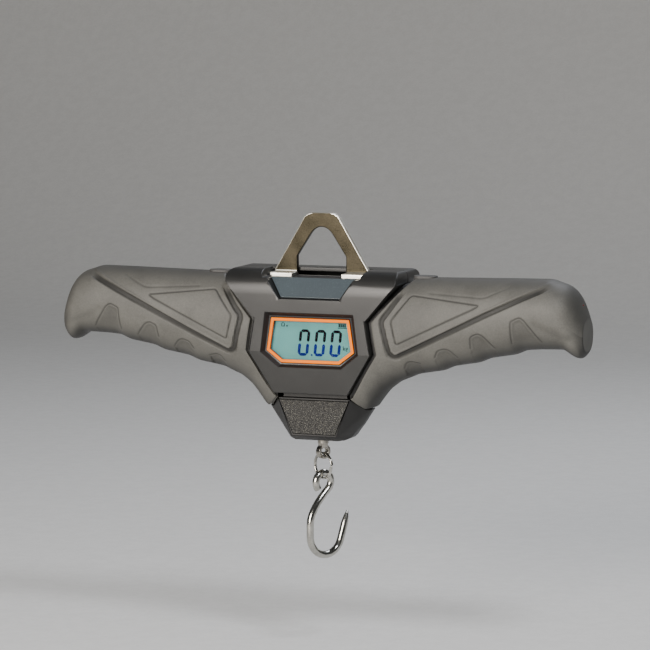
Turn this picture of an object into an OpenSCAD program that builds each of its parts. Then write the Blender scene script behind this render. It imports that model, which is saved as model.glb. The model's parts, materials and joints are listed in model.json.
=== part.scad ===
// Two-handed digital fish scale: a display housing between two rubber grips,
// a steel hanger above and a swivelling hook below.
// Frame: X to the right, -Y to the front, +Z up. The origin is the point of the
// hanger that bears the load. Heights inside the modules are measured from the
// middle of the display, which lies hang_drop below the origin.

/* [Overall] */
// Width over both grips, end to end
overall_w = 298; // [280:1:360]
// Depth of the grips, front to back
grip_depth = 40; // [38:1:48]
// Height of the hanger's bearing point above the middle of the display
hang_drop = 60; // [57:1:72]

/* [Housing] */
// Distance of the display face from the mid-plane
face_y = 21.8; // [21.2:0.1:26]
// Distance of the back face from the mid-plane
back_y = 20.5; // [20.2:0.1:25]
// Height of the housing's crown above the middle of the display
crown_z = 37.8; // [36.5:0.1:44]
// Half width of the crown
crown_x = 50; // [46:0.5:56]
// Half width of the waist beside the display
waist_x = 31.8; // [31.5:0.1:36]
// Half width of the hips below the waist
hip_x = 34.8; // [34.5:0.1:39]
// Half width of the housing's foot
foot_x = 21; // [20:0.5:25]
// Wall of the housing covers
wall = 2.2; // [1.8:0.1:2.4]
// Width of the channel between the housing and the grips
channel = 2.2; // [1.5:0.1:3.5]

/* [Display] */
// Width of the bezel across its lower corners
bezel_w = 50; // [44:0.5:52]
// Height of the bezel
bezel_h = 24.2; // [20:0.1:25]
// Width of the bezel's rim
bezel_rim = 1.7; // [1.2:0.1:2.4]

/* [Hanger] */
// Thickness of the hanger plate
hanger_t = 3; // [2:0.5:4]
// Width of the hanger at its feet
hanger_w = 54; // [50:1:56]
// Width of the hanger's hole
hanger_hole_w = 28; // [24:1:32]
// Metal between the hole and the hanger's top
hanger_bar = 7.7; // [6:0.1:11]

/* [Grips] */
// Thickness of the rubber sleeve
sleeve_t = 3; // [2.4:0.1:4]
// Wall of the grip core
core_wall = 2.6; // [2:0.1:3.4]
// Distance between finger steps
finger_pitch = 20.2; // [18:0.1:22]
// Height of one finger step
finger_step = 2.6; // [1.5:0.1:4]

/* [Load path] */
// Height of the crossbar
bar_h = 12; // [10:0.5:13]
// Depth of the crossbar
bar_t = 12; // [10:0.5:13]
// Width of the load cell
cell_w = 30; // [26:1:34]
// Thickness of the load cell
cell_t = 12.7; // [10:0.1:13.5]
// Diameter of the bolts in the load cell
bolt_d = 6; // [5:0.5:8]

/* [Hook] */
// Diameter of the swivel stud
stud_d = 6; // [5:0.1:7.2]
// Outer diameter of the split ring
ring_od = 15; // [14:0.5:20]
// Wire diameter of the split ring
ring_wire = 1.2; // [1:0.1:1.4]
// Wire diameter of the hook
hook_wire = 4; // [3:0.1:4.8]
// Radius of the hook's bend, to the middle of the wire
bend_r = 11; // [9:0.5:16]

/* [Power] */
// Diameter of one cell
battery_d = 10.5; // [10:0.1:10.6]
// Length of one cell
battery_len = 44.5; // [40:0.5:45]
// Diameter of the door's hinge pin
pin_d = 2; // [1.5:0.1:2.2]

/* [Fits] */
// Gap between fixed pieces
fit = 0.15; // [0.1:0.05:0.25]
// Gap beside pieces that move
free_gap = 0.35; // [0.3:0.05:0.5]
// Radial clearance of a turning shaft
shaft_gap = 0.05; // [0.02:0.01:0.08]

/* [Hidden] */
$fn = 48;
eps = 0.05;
grip_end = overall_w / 2;
half_grip = grip_depth / 2;

// Housing outline, seen from the front
foot_z = -28.6;
hip_z = -6.2;
waist_z = 11.5;
crown_r = 5;
brow_r = 13.5;
chin_in = 2.2;

// Crossbar and load cell
bar_z = 19;
bar_top = bar_z + bar_h / 2;
bar_low = bar_z - bar_h / 2;
bar_end = grip_end - 24;
end_screw_d = 4;
end_screw_len = 14;
cell_top = bar_low;
cell_low = foot_z + wall + fit;
cell_h = cell_top - cell_low;
cell_mid = (cell_top + cell_low) / 2;
gauge_x = cell_w / 2 - 7;
gauge_t = 0.3;
gauge_w = 6;

// Nose, below the housing
nose_top = foot_z - 3;
nose_seam = nose_top - 6;
nose_low = nose_top - 23.4;
nose_wall = 2.2;
nose_hx = foot_x - 0.5;
nose_y = half_grip - 5.6;
nose_low_y = nose_y - 4.4;
nose_seam_x = nose_hx + 6;
nose_side_x = nose_hx + 8.7;
nose_side_y = 2.5;
nose_chin = nose_low + 2.6;
panel_low_x = 12;
panel_low = nose_chin + 1.2;
panel_t = 1.2;

// Swivel
coupler_d = 13;
cavity_d = 10.4;
coupler_low = nose_low + 7.5;
nut_h = 4.5;
washer_t = 1;
head_h = 4.4;
head_d = cavity_d - 2 * free_gap;
swivel_turn = -30;
eye_r = 4;
eye_t = 3;
eye_hole_r = 2.3;
eye_z = nose_low - 7.4;
ring_mid_r = (ring_od - ring_wire) / 2;
ring_pivot_z = eye_z - eye_hole_r + ring_wire + 0.25;
hook_eye_r = hook_wire / 2 + 3.2;
hook_pivot_z = ring_pivot_z - 2 * ring_mid_r;
hook_eye_z = hook_pivot_z + ring_wire / 2 + 0.45 + hook_wire / 2 - hook_eye_r;
bend_z = hook_eye_z - hook_eye_r - 24;
hook_balance = 1.6;

// Display stack, measured back from the face
pocket_depth = 2.8;
bezel_t = 1.4;
bezel_front = face_y - pocket_depth + 0.6;
window_front = bezel_front - bezel_t - eps;
window_t = 1.1;
panel_front = window_front - window_t - fit;
glass_t = 2;
guide_front = panel_front - glass_t - fit;
guide_t = 2;
board_t = 1.6;
board_front = guide_front - guide_t - fit;
board_back = board_front - board_t;
board_low = -24;
board_top = 9.5;
opening_back = window_front - window_t;
board_screw_d = 2;
board_thread = 4;
board_boss_d = 4.4;
frame_w = 5;
board_screws_at = [for (side = [-1, 1], spot = [[waist_x - 4.6, 6.5], [foot_x - 4.5, -20.5]])
    [side * spot[0], spot[1]]];

// Badge on the brow
badge_low_z = 22.5;
badge_low_x = 17;
badge_top_x = badge_low_x + 7.5;
badge_tilt = 26;
badge_h = 12;
badge_t = 1.2;
badge_low_y = face_y - 3.6;
badge_top_z = badge_low_z + badge_h * cos(badge_tilt);
badge_top_y = badge_low_y - badge_h * sin(badge_tilt);

// Hanger feet
shelf_z = 35.6;
foot_t = 2;
shelf_y = 9.6;
tang_t = 2.5;
tang_x = 20;
tang_w = 12;
tang_screw_d = 4;
tang_screw_len = 7;
tang_head_h = 2;
tang_stand_off = shelf_y - tang_t - bar_t / 2;

// Batteries at the back
battery_gap = 0.9;
bay_gap = 0.5;
battery_low_z = 0.8;
battery_top_z = battery_low_z + battery_d + battery_gap;
spring_len = 4;
tray_wall = 1.1;
tray_x = battery_len / 2 + spring_len / 2 + 0.9 + tray_wall;
tray_low = battery_low_z - battery_d / 2 - bay_gap - tray_wall;
tray_top = battery_top_z + battery_d / 2 + bay_gap + tray_wall;
seal_t = 0.9;
door_t = 2;
door_in = back_y - door_t;
battery_y = door_in - battery_d / 2 - fit - 0.1;
tray_front = battery_y - battery_d / 2 - fit - tray_wall;
tray_back = door_in - seal_t;
door_x = tray_x + 1.2;
hinge_z = tray_low - 4;
hinge_y = back_y - pin_d / 2 - 1;
knuckle_r = pin_d / 2 + 1;
knuckle_x = 12;
knuckle_end = 19;
door_low = hinge_z + knuckle_r + free_gap;
door_top = tray_top + 7.5;
latch_z = tray_top + 3.6;
latch_d = 7;
latch_shaft_d = 4;
latch_reach = door_top - latch_z + 2.2;

// Thumb buttons
button_x = 59;
button_len = 13;
button_w = 8;
button_travel = 0.8;
button_proud = 0.9;
switch_board_t = 1.2;
switch_h = 2.6;

flange = 1;
flange_t = 1;
switch_low = bar_top + fit + switch_board_t;
switch_top = switch_low + switch_h - button_travel;
button_flange_z = switch_top + 1.4;

// Ends of the grips, where a screw holds each core to the crossbar
core_end = grip_end - sleeve_t - 1 - eps;
rib_x = [crown_x + 22, grip_end - 48];
plug_d = 7.4;
plug_face_x = grip_end - 2.4;
screw_seat = 6;
screw_head_h = 3;
plug_in_x = core_end - screw_seat + screw_head_h + 0.3;

// Seam and screws of the nose
seam = 0.3;
nose_screw_x = foot_x - 10;
nose_screw_d = 3;

// Leads, from the strain gauges and from the battery tray down into their sockets
lead_d = 1.2;
socket_x = 9.5;
socket_z = -16;
socket_y = -board_back + 1.7;
lead_down = [for (z = [2.5, eps]) [socket_x, socket_y, socket_z + z]];
cell_route = concat([[gauge_x, -cell_t / 2 - gauge_t - eps, cell_mid],
    [gauge_x, socket_y + 0.9, cell_mid], [socket_x - 0.4, socket_y, cell_mid - 3]], lead_down);
battery_route = concat([[-cell_w / 2 - 5, tray_front - eps, 3], [-cell_w / 2 - 5, tray_front - 1.7, 3],
    [-cell_w / 2 - 5, 2, -1], [-cell_w / 2 - 4, -3, -7], [-cell_w / 2 - 0.5, -cell_t / 2 - 1.6, -10.5],
    [-socket_x - 1, socket_y, -11.5]], [for (p = lead_down) [-p[0], p[1], p[2]]]);

// Screws of the back cover
cover_screws_at = [for (side = [-1, 1], spot = [[crown_x - 12.5, crown_z - 8.8], [foot_x + 1, foot_z + 11.6]])
    [side * spot[0], spot[1]]];
cover_screw_d = 3;
cover_head_d = 5.6;
cover_head_h = 2.2;
cover_boss_d = 6.6;
head_depth = 0.3;
screw_tip_y = -9;
thread_bite = 0.4;

// Lines of the right grip, by distance from the mid-plane
top_line = [[0, 33.4], [34, 33.4], [button_x - 7, 34.3], [grip_end - 38, 35.4], [grip_end - 19, 35.6],
    [grip_end - 15, 33.9], [grip_end - 11, 33], [grip_end - 7, 30.2], [grip_end - 3, 24.5],
    [grip_end, 15.5]];
finger_first = grip_end - 35.5;
finger_slope = 0.2;
finger_run = 3;
fingers = [for (i = [0:3]) finger_first - i * finger_pitch];
finger_z = [for (i = [0:3]) -2.4 - i * (finger_pitch * finger_slope + 1)];
low_line = concat([[0, nose_low], [nose_seam_x + 2.9, nose_seam - 1.5], [nose_seam_x + 7.4, nose_seam + 5],
    [nose_seam_x + 11.9, foot_z + 1.6], [fingers[3] - 8, finger_z[3] - finger_step - 2]],
    [for (i = [3:-1:0], side = [-1, 1])
        [fingers[i] + side * finger_run, finger_z[i] + (side < 0 ? -finger_step : 0)]],
    [[grip_end - 25, -1.8], [grip_end - 11.4, -1.4], [grip_end - 6, -5.3], [grip_end - 2, -6.2],
    [grip_end, -3]]);
depth_line = [[0, half_grip], [grip_end - 40, half_grip], [grip_end - 16, half_grip - 1],
    [grip_end - 8, half_grip - 2.2], [grip_end - 3, half_grip - 5.5], [grip_end, half_grip - 10]];
grip_in = nose_hx - 1;
section_power = 2.7;
section_n = 28;

// ---- Shared shapes ----

module at_display() {
    translate([0, 0, -hang_drop]) children();
}

// Points of a quarter turn from one line into another, bulging towards the corner
function corner(from, via, to, steps = 6) =
    [for (i = [0:steps]) let (t = i / steps)
        from * (1 - t) * (1 - t) + via * 2 * t * (1 - t) + to * t * t];

// Right half of the outline plus its mirror image
function both_sides(half) =
    concat(half, [for (i = [len(half) - 1:-1:0]) [-half[i][0], half[i][1]]]);

// Extrudes a front view from one depth to another, y counted from the mid-plane
module front_view(from_y, to_y) {
    translate([0, to_y, 0]) rotate([90, 0, 0]) linear_extrude(to_y - from_y) children();
}

// Extrudes a side view, drawn as y and z, across the width
module side_view(width) {
    rotate([90, 0, 90]) translate([0, 0, -width / 2]) linear_extrude(width) children();
}

// Closed skin through rings that all have the same number of points
module loft(rings) {
    n = len(rings[0]);
    last = len(rings) - 1;
    sides = [for (i = [0:last - 1], k = [0:n - 1], half = [0, 1])
        let (a = i * n + k, b = i * n + (k + 1) % n)
            half == 0 ? [a, b + n, b] : [a, a + n, b + n]];
    polyhedron([for (ring = rings, p = ring) p],
        concat([[for (k = [0:n - 1]) k]], sides, [[for (k = [n - 1:-1:0]) last * n + k]]));
}

// Straight slot with round ends, standing on z = 0
module slot_block(length, width, height) {
    linear_extrude(height) {
        square([length - width, width], center = true);
        for (side = [-1, 1]) translate([side * (length - width) / 2, 0]) circle(d = width);
    }
}

// Screw along +Y with its head at the back, tip at y = 0
module back_screw(shank_d, length, head_d, head_h) {
    rotate([-90, 0, 0]) difference() {
        union() {
            cylinder(d = shank_d, h = length + eps);
            translate([0, 0, length]) cylinder(d = head_d, h = head_h);
        }
        translate([0, 0, length + head_h * 0.45]) cylinder(d = head_d * 0.5, h = head_h, $fn = 6);
    }
}

// ---- Housing ----

module housing_outline() {
    polygon(both_sides(concat([[foot_x, foot_z], [hip_x, hip_z], [waist_x, waist_z]],
        corner([crown_x - 1.6, crown_z - crown_r - 2], [crown_x, crown_z],
            [crown_x - crown_r, crown_z]))));
}

module housing_profile() {
    polygon(concat([[-face_y + chin_in, foot_z], [-face_y, hip_z]],
        corner([-face_y, crown_z - brow_r], [-face_y, crown_z], [-face_y + brow_r, crown_z], 10),
        corner([back_y - 8, crown_z], [back_y, crown_z], [back_y, crown_z - 8]),
        corner([back_y, foot_z + 4], [back_y, foot_z], [back_y - 4, foot_z])));
}

module housing_form(inset) {
    intersection() {
        front_view(-face_y - 1, back_y + 1) offset(delta = -inset) housing_outline();
        side_view(2 * crown_x + 2) offset(delta = -inset) housing_profile();
    }
}

// Right half of the bezel's outline, grown outwards on every side
function bezel_half(grow) =
    [[bezel_w / 2 - 8.4 + grow * 0.55, -bezel_h / 2 - grow],
    [bezel_w / 2 + grow, -bezel_h / 2 + 6.4 - grow * 0.3],
    [bezel_w / 2 - 2.7 + grow, bezel_h / 2 + grow]];

module bezel_outline(grow) {
    polygon(both_sides(bezel_half(grow)));
}

// Bevelled recess around the display
module display_pocket() {
    loft([for (step = [[1.2, face_y - pocket_depth], [3, face_y + eps]])
        [for (p = both_sides(bezel_half(step[0]))) [p[0], -step[1], p[1]]]]);
}

// Space that the badge and the hanger's feet lie in, or the wall round it
module brow_recess(grow = 0) {
    intersection() {
        front_view(-face_y - 1, 0) polygon(both_sides([[badge_low_x + grow, badge_low_z - grow],
            [badge_top_x + grow, badge_top_z], [hanger_w / 2 + 0.8 + grow, shelf_z - foot_t],
            [hanger_w / 2 + 2.5 + grow, crown_z + 1]]));
        side_view(crown_x * 2) polygon([[-face_y - 1, badge_low_z - grow],
            [-badge_low_y + grow, badge_low_z - grow], [-badge_top_y + grow, badge_top_z],
            [-badge_top_y + grow, shelf_z - foot_t - grow], [0, shelf_z - foot_t - grow],
            [0, crown_z + 1], [-face_y - 1, crown_z + 1]]);
    }
}

module on_badge_plane() {
    translate([0, -badge_low_y, badge_low_z]) rotate([90 - badge_tilt, 0, 0]) children();
}

// Slot along the crossbar, with a gap all round
module bar_slot(length) {
    translate([-length / 2, -bar_t / 2 - fit, bar_low - fit])
        cube([length, bar_t + 2 * fit, bar_h + 2 * fit]);
}

// Holes that the crossbar leaves by, and the hole of the swivel coupler
module housing_openings() {
    bar_slot(2 * crown_x);
    translate([0, 0, foot_z - 1]) cylinder(d = coupler_d + 2 * fit, h = wall + 2);
    for (side = [-1, 1]) translate([side * nose_screw_x, 0, foot_z - 1])
        cylinder(d = nose_screw_d - 0.2, h = wall + 2);
}

// Round posts or holes along Y at a list of places, given as x and z
module posts(places, d, from_y, to_y) {
    for (p = places) translate([p[0], from_y, p[1]])
        rotate([-90, 0, 0]) cylinder(d = d, h = to_y - from_y);
}

// The whole space in front of the parting plane, or behind it
module half_space(side) {
    reach = 2 * crown_x;
    translate([-reach, side < 0 ? -reach : 0, -reach]) cube([2 * reach, reach, 2 * reach]);
}

// Front shell, with the display's frame, the brow's recess and the screw posts
module front_cover() color("#2e2f31") at_display() difference() {
    union() {
        difference() {
            housing_form(0);
            housing_form(wall);
            half_space(1);
        }
        intersection() {
            housing_form(eps);
            union() {
                posts(cover_screws_at, cover_boss_d, -face_y + 1, 0);
                posts(board_screws_at, board_boss_d, -face_y + 1, -board_front);
                brow_recess(wall - 0.4);
                front_view(-face_y + 1, -opening_back) bezel_outline(frame_w);
            }
        }
    }
    display_pocket();
    front_view(-face_y - 1, -opening_back + 1) bezel_outline(fit);
    brow_recess();
    housing_openings();
    hanger_slots();
    posts(cover_screws_at, cover_screw_d - thread_bite, screw_tip_y - 2, 1);
    posts(board_screws_at, board_screw_d - thread_bite, -board_front - board_thread - 1, 0);
}

// Cut that rounds the edge of the door's opening about the hinge line, so that the door swings past it
module hinge_lip() difference() {
    translate([-door_x - free_gap, hinge_y, hinge_z])
        cube([2 * (door_x + free_gap), back_y, door_low - hinge_z]);
    at_hinge(0) cylinder(r = door_low - hinge_z - free_gap / 2, h = 2 * back_y + 4 * door_x, center = true);
}

// Back shell, with the opening of the battery door and its two hinge knuckles
module rear_cover() color("#2e2f31") at_display() difference() {
    union() {
        difference() {
            housing_form(0);
            housing_form(wall);
            half_space(-1);
        }
        intersection() {
            housing_form(eps);
            union() {
                posts(cover_screws_at, cover_boss_d, 0, back_y);
                for (side = [-1, 1]) at_hinge(side * (knuckle_x + knuckle_end) / 2)
                    cylinder(r = knuckle_r, h = knuckle_end - knuckle_x - free_gap, center = true);
            }
        }
    }
    housing_openings();
    hanger_slots();
    posts(cover_screws_at, cover_screw_d + 2 * fit, -1, back_y + 1);
    posts(cover_screws_at, cover_head_d, back_y - cover_head_h - head_depth, back_y + 1);
    translate([-door_x - free_gap, tray_back - 1, door_low - free_gap])
        cube([2 * (door_x + free_gap), back_y, door_top - door_low + 2 * free_gap]);
    hinge_lip();
    translate([-knuckle_x - free_gap / 2, hinge_y - knuckle_r - free_gap, hinge_z - knuckle_r - free_gap])
        cube([2 * knuckle_x + free_gap, back_y, 3 * knuckle_r + 2 * free_gap]);
    at_hinge(0) cylinder(d = pin_d + 2 * fit, h = 2 * knuckle_end + 2, center = true);
}

module cover_screws() color("silver") at_display()
    for (p = cover_screws_at) translate([p[0], screw_tip_y, p[1]])
        back_screw(cover_screw_d - thread_bite - 0.1, back_y - cover_head_h - head_depth - screw_tip_y,
            cover_head_d - 4 * fit, cover_head_h);

// ---- Badge and display ----

module badge_plate() color("#3a4650") at_display() on_badge_plane()
    linear_extrude(badge_t)
        polygon(both_sides([[badge_low_x - fit, fit], [badge_top_x - fit, badge_h - fit]]));

module lcd_bezel() color("#ff9f50") at_display()
    front_view(-bezel_front, -bezel_front + bezel_t) difference() {
        bezel_outline(0);
        offset(delta = -bezel_rim) bezel_outline(0);
    }

module lcd_window() color("#dfe8e6") at_display()
    front_view(-window_front, -window_front + window_t) bezel_outline(0);

module lcd_panel() color("#7fa9a6") at_display()
    front_view(-panel_front, -panel_front + glass_t) bezel_outline(-0.3);

module light_guide() color("#e8ecea") at_display()
    front_view(-guide_front, -guide_front + guide_t) bezel_outline(-0.3);

module circuit_board() color("#1f6b3a") at_display() difference() {
    intersection() {
        front_view(-board_front, -board_back) offset(delta = -wall - 1) housing_outline();
        translate([-hip_x, -face_y, board_low]) cube([2 * hip_x, face_y, board_top - board_low]);
    }
    posts(board_screws_at, board_screw_d + 2 * fit, -face_y, 0);
    posts(cover_screws_at, cover_boss_d + 4 * fit, -face_y, 0);
}

// Chips and, below them, the two sockets that the leads end in
module board_parts() color("#202326") at_display() {
    translate([-22, -board_back, -4]) cube([9, 1.6, 9]);
    translate([-3, -board_back, -2]) cube([6, 1.4, 4]);
    translate([10, -board_back, 0]) cube([8, 2.2, 3.2]);
    for (side = [-1, 1]) translate([side * socket_x - 4.5, -board_back, socket_z - 4]) cube([9, 3.4, 4]);
}

module board_screws() color("silver") at_display()
    for (p = board_screws_at) translate([p[0], -board_front - board_thread, p[1]])
        back_screw(board_screw_d - thread_bite - 0.1, board_thread + board_t, board_screw_d + 1.6, 1.2);

// ---- Crossbar, hanger and load cell ----

module crossbar() color("#b9bcc0") at_display() difference() {
    translate([-bar_end, -bar_t / 2, bar_low]) cube([2 * bar_end, bar_t, bar_h]);
    translate([0, 0, bar_low - 1]) cylinder(d = bolt_d + 0.4, h = bar_h + 2);
    for (side = [-1, 1]) {
        translate([side * tang_x, -bar_t / 2 - 1, bar_z]) rotate([-90, 0, 0])
            cylinder(d = tang_screw_d, h = tang_screw_len + 1.5);
        translate([side * (bar_end + 1), 0, bar_z]) rotate([0, -side * 90, 0])
            cylinder(d = end_screw_d, h = end_screw_len + 1);
    }
}

// Outline of the hanger above the shelf, heights from the middle of the display
module hanger_outline() {
    top = hang_drop + hanger_bar;
    hole = hanger_hole_w / 2;
    kink_z = shelf_z + 8.5;
    difference() {
        polygon(both_sides([[hanger_w / 2, shelf_z - foot_t], [hanger_w / 2, shelf_z + 1],
            [11.2, top - 4.4], [10, top - 2.2], [7.6, top - 0.6], [5.5, top]]));
        polygon(both_sides(concat([[hole, shelf_z - foot_t - 1], [hole, kink_z]],
            corner([6.6, hang_drop - 4.4], [3.8, hang_drop], [0, hang_drop]))));
    }
}

module hanger_loop() color("#c9c6bf") at_display() difference() {
    union() {
        front_view(-hanger_t / 2, hanger_t / 2) hanger_outline();
        for (side = [-1, 1]) {
            foot_in = hanger_hole_w / 2;
            foot_w = (hanger_w - hanger_hole_w) / 2;
            translate([side > 0 ? foot_in : -foot_in - foot_w, -shelf_y, shelf_z - foot_t])
                cube([foot_w, shelf_y, foot_t]);
            translate([side * tang_x - tang_w / 2, -shelf_y, bar_low + 1])
                cube([tang_w, tang_t, shelf_z - foot_t - bar_low]);
        }
    }
    for (side = [-1, 1]) translate([side * tang_x, -shelf_y - 1, bar_z]) rotate([-90, 0, 0])
        cylinder(d = tang_screw_d + 0.4, h = tang_t + 2);
}

// Slots in the covers for the hanger plate and its tangs
module hanger_slots() {
    translate([-hanger_w / 2 - fit, -hanger_t / 2 - fit, shelf_z - foot_t - 0.1])
        cube([hanger_w + 2 * fit, hanger_t + 2 * fit, crown_z]);
    for (side = [-1, 1]) translate([side * tang_x - tang_w / 2 - fit, -shelf_y - fit, bar_top - 2])
        cube([tang_w + 2 * fit, tang_t + 2 * fit, shelf_z - bar_top]);
}

// Each screw has a collar that holds its tang off the crossbar
module hanger_screws() color("silver") at_display()
    for (side = [-1, 1]) translate([side * tang_x, -shelf_y - tang_head_h, bar_z]) rotate([-90, 0, 0]) {
        difference() {
            cylinder(d = tang_screw_d + 3, h = tang_head_h);
            translate([0, 0, -eps]) cylinder(d = tang_screw_d * 0.7, h = tang_head_h * 0.6, $fn = 6);
        }
        cylinder(d = tang_screw_d - 0.1, h = tang_head_h + tang_t + tang_stand_off + tang_screw_len);
        translate([0, 0, tang_head_h + tang_t]) cylinder(d = tang_screw_d + 3, h = tang_stand_off);
    }

module load_cell() color("#c4c7cb") at_display() difference() {
    front_view(-cell_t / 2, cell_t / 2) difference() {
        translate([-cell_w / 2, cell_low]) square([cell_w, cell_h]);
        for (turn = [0, 180]) translate([0, cell_mid]) rotate(turn)
            translate([-cell_w / 2 - 1, cell_h * 0.22]) square([cell_w * 0.8 + 1, 1.6]);
        translate([0, cell_mid]) circle(r = cell_h * 0.14);
    }
    translate([0, 0, cell_top - cell_h * 0.24]) cylinder(d = bolt_d, h = cell_h);
    translate([0, 0, cell_low - 1]) cylinder(d = bolt_d, h = cell_h * 0.24 + 1);
}

module load_cell_bolt() color("silver") at_display() difference() {
    union() {
        translate([0, 0, cell_top - cell_h * 0.22]) cylinder(d = bolt_d - 0.1, h = cell_h * 0.22 + bar_h + 1);
        translate([0, 0, bar_top]) cylinder(d = bolt_d * 5 / 3, h = 5);
    }
    translate([0, 0, bar_top + 2.4]) cylinder(d = bolt_d * 0.9, h = 5, $fn = 6);
}

module strain_gauges() color("#c98f3a") at_display()
    for (side = [-1, 1]) translate([side * gauge_x - gauge_w / 2, -cell_t / 2 - gauge_t, cell_mid - gauge_w / 2])
        cube([gauge_w, gauge_t, gauge_w]);

// ---- Grips ----

function signed_power(v, p) = sign(v) * pow(abs(v), p);

// Section of the right grip at a distance x from the mid-plane, shrunk by inset
function grip_ring(x, inset) =
    let (top = lookup(x, top_line) - inset, low = lookup(x, low_line) + inset,
        deep = lookup(x, depth_line) - inset)
    [for (k = [0:section_n - 1]) let (a = 360 * k / section_n)
        [x, deep * signed_power(cos(a), 2 / section_power),
            (top + low) / 2 + (top - low) / 2 * signed_power(sin(a), 2 / section_power)]];

// Right grip from x = from to x = to
module grip_form(from, to, inset) {
    marks = concat([for (p = low_line) p[0]], [for (p = top_line) p[0]]);
    inside = [for (m = marks) if (m > from + 0.4 && m < to - 0.4) m];
    stations = concat([from], sorted(inside), [to]);
    loft([for (x = stations) grip_ring(x, inset)]);
}

function sorted(list) = len(list) == 0 ? [] :
    let (low = min(list)) concat([low], sorted([for (v = list) if (v > low + 0.4) v]));

// Everything that the housing and the nose take away from a grip
module grip_cut(gap) {
    front_view(-half_grip - 1, half_grip + 1) offset(delta = gap) housing_outline();
    front_view(-half_grip - 1, half_grip + 1)
        polygon(both_sides([[nose_hx + seam, foot_z], [nose_hx + seam, nose_top + seam],
            [nose_seam_x + seam, nose_seam + seam], [half_grip + foot_x, nose_seam + seam],
            [half_grip + foot_x, nose_low - half_grip], [0, nose_low - half_grip]]));
}

// Places a shape that stands on Z along the middle of the crossbar
module on_bar_axis(x) {
    translate([x, 0, bar_z]) rotate([0, 90, 0]) children();
}

// Opening for the thumb button, down to the crossbar's top
module button_well(grow, height = half_grip) {
    translate([button_x, 0, bar_top + fit])
        slot_block(button_len + 2 * grow, button_w + 2 * grow, height);
}

module grip_sleeve() difference() {
    grip_form(grip_in, grip_end, 0);
    grip_form(grip_in - 2, grip_end - sleeve_t - 1, sleeve_t);
    grip_cut(channel);
    button_well(free_gap);
    on_bar_axis(core_end) cylinder(d = plug_d + 2 * fit, h = sleeve_t + 3);
}

// Upright slab across the whole grip
module grip_rib(x, thickness) {
    translate([x, -half_grip, -grip_depth]) cube([thickness, grip_depth, 2 * grip_depth]);
}

// Hollow moulding with ribs, solid round the button and round the end screw
module grip_core() {
    core_in = sleeve_t + eps;
    difference() {
        grip_form(grip_in, core_end, core_in);
        difference() {
            grip_form(grip_in - 2, core_end - 4, core_in + core_wall);
            for (x = rib_x) grip_rib(x, core_wall);
            grip_rib(bar_end - 6, 30);
            translate([button_x - button_len / 2 - 3, -button_w / 2 - 3, bar_top])
                cube([button_len + 6, button_w + 6, half_grip]);
        }
        grip_cut(2 * fit);
        bar_slot(2 * (bar_end + fit));
        button_well(free_gap);
        button_well(free_gap + flange, button_flange_z - bar_top + flange_t + free_gap);
        on_bar_axis(bar_end - 1) cylinder(d = end_screw_d + 2 * fit, h = 40);
        on_bar_axis(core_end - screw_seat) cylinder(d = plug_d + 2 * fit, h = 20);
    }
}

module right_grip_core() color("#1d1e1f") at_display() grip_core();
module left_grip_core() color("#1d1e1f") at_display() mirror([1, 0, 0]) grip_core();
module right_grip_sleeve() color("#8a857f") at_display() grip_sleeve();
module left_grip_sleeve() color("#8a857f") at_display() mirror([1, 0, 0]) grip_sleeve();

module grip_screws() color("silver") at_display()
    for (side = [0, 1]) mirror([side, 0, 0]) {
        on_bar_axis(bar_end - end_screw_len + 1)
            cylinder(d = end_screw_d - 0.1, h = core_end - screw_seat - bar_end + end_screw_len);
        on_bar_axis(core_end - screw_seat) difference() {
            cylinder(d = plug_d - 2 * fit, h = screw_head_h);
            translate([0, 0, screw_head_h / 2]) cylinder(d = end_screw_d * 0.8, h = screw_head_h, $fn = 6);
        }
    }

module end_plugs() color("#c8203c") at_display()
    for (side = [0, 1]) mirror([side, 0, 0])
        on_bar_axis(plug_in_x) cylinder(d = plug_d, h = plug_face_x - plug_in_x);

// ---- Thumb buttons ----

module thumb_button() {
    top = lookup(button_x, top_line) + button_proud;
    translate([button_x, 0, button_flange_z]) {
        slot_block(button_len, button_w, top - button_flange_z);
        slot_block(button_len + 2 * flange, button_w + 2 * flange, flange_t);
    }
    translate([button_x, 0, switch_top + button_travel + eps])
        cylinder(d = 3, h = button_flange_z - switch_top - button_travel);
}

module power_button() color("#2a2b2d") at_display() thumb_button();
module unit_button() color("#2a2b2d") at_display() mirror([1, 0, 0]) thumb_button();

module switch_boards() color("#1f6b3a") at_display()
    for (side = [-1, 1]) translate([side * button_x - 5, -4, bar_top + fit]) cube([10, 8, switch_board_t]);

module button_switches() color("#3a3c3e") at_display()
    for (side = [-1, 1]) translate([side * button_x, 0, switch_low]) {
        translate([-3, -3, 0]) cube([6, 6, switch_h - button_travel - 0.2]);
        cylinder(d = 2.6, h = switch_h - button_travel);
    }

// ---- Nose ----

// Faceted block that narrows downwards, with its lower edge rounded
module nose_form(inset) {
    levels = [[nose_hx - inset * 0.4, nose_y - inset, nose_top - inset],
        [nose_side_x - inset * 1.2, nose_side_y, nose_seam - inset * 0.7],
        [panel_low_x + 0.8 - inset * 0.4, nose_y - inset, nose_chin + inset],
        [panel_low_x - inset * 0.4, nose_low_y - inset, nose_low + inset],
        [nose_hx - 2.5 - inset * 1.2, nose_side_y, nose_low + inset]];
    points = [for (l = levels, sx = [-1, 1], sy = [-1, 1]) [sx * l[0], sy * l[1], l[2]]];
    intersection() {
        hull() for (p = points) translate(p) cube(eps, center = true);
        front_view(-half_grip, half_grip) polygon(both_sides(concat([[0, nose_low + inset]],
            corner([nose_hx - 7.6, nose_low + inset], [nose_hx - 2.8 - inset, nose_low + inset],
                [nose_hx - 0.5 - inset, nose_low + 4.5]),
            [[nose_side_x + 2, nose_seam - inset], [nose_seam_x - inset / 2, nose_seam - inset],
            [nose_hx - inset / 2, nose_top - inset]])));
    }
}

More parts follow.
